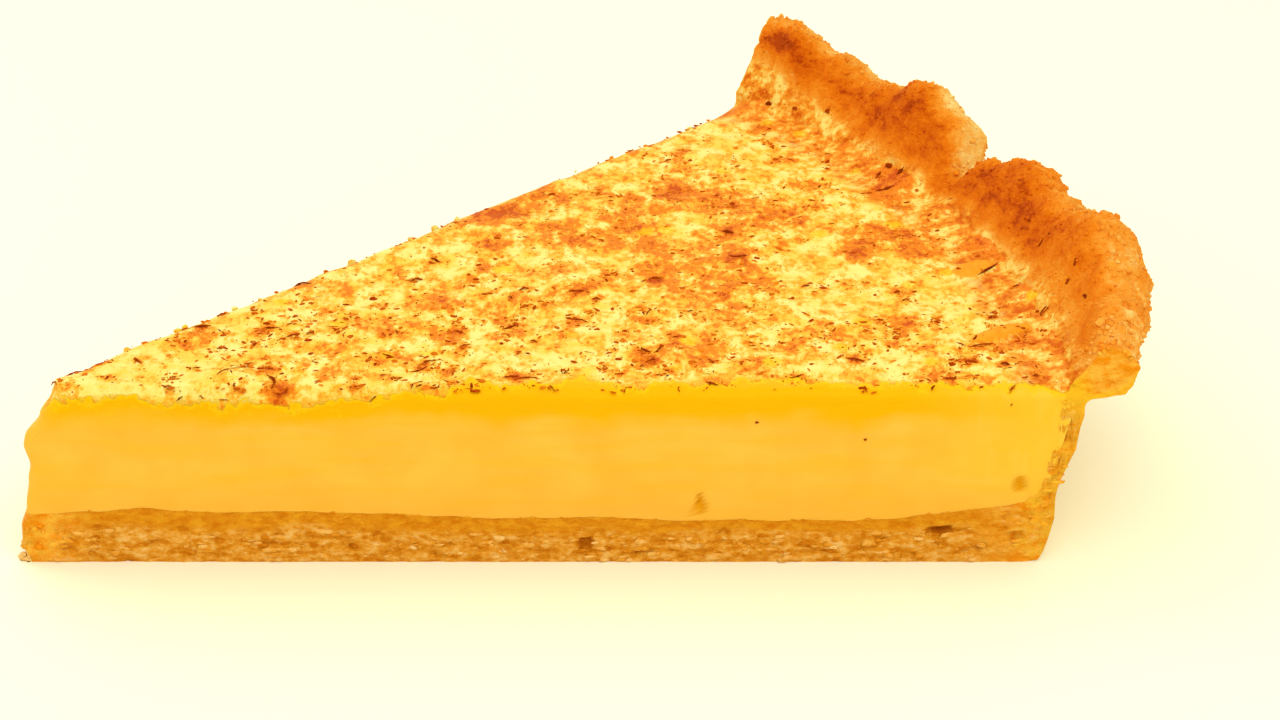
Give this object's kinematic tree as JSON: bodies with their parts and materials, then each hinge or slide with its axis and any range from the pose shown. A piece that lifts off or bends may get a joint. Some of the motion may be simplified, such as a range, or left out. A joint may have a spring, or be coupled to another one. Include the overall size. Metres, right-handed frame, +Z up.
{
  "type": "custard tart slice",
  "caption": "Wedge of baked custard tart with its cut sides open: set custard under a nutmeg-flecked skin, in a shortcrust case with a ruffled, toasted rim.",
  "frame": {"origin": "on the table, under the middle of the slice's box", "axes": "+Z up; +X from the point towards the rim along the near cut; the near cut faces -Y, the far cut stands at 45 degrees to it"},
  "size_m": [0.1204, 0.0852, 0.0306],
  "materials": {
    "baked_pastry": "matte, crumbly where cut, toasted darker along the rim's crest",
    "baked_custard": "soft satin where cut, pale skin with grated nutmeg on top"
  },
  "bodies": {
    "root": {"pastry_case": "baked_pastry", "custard": "baked_custard"}
  },
  "joints": []
}
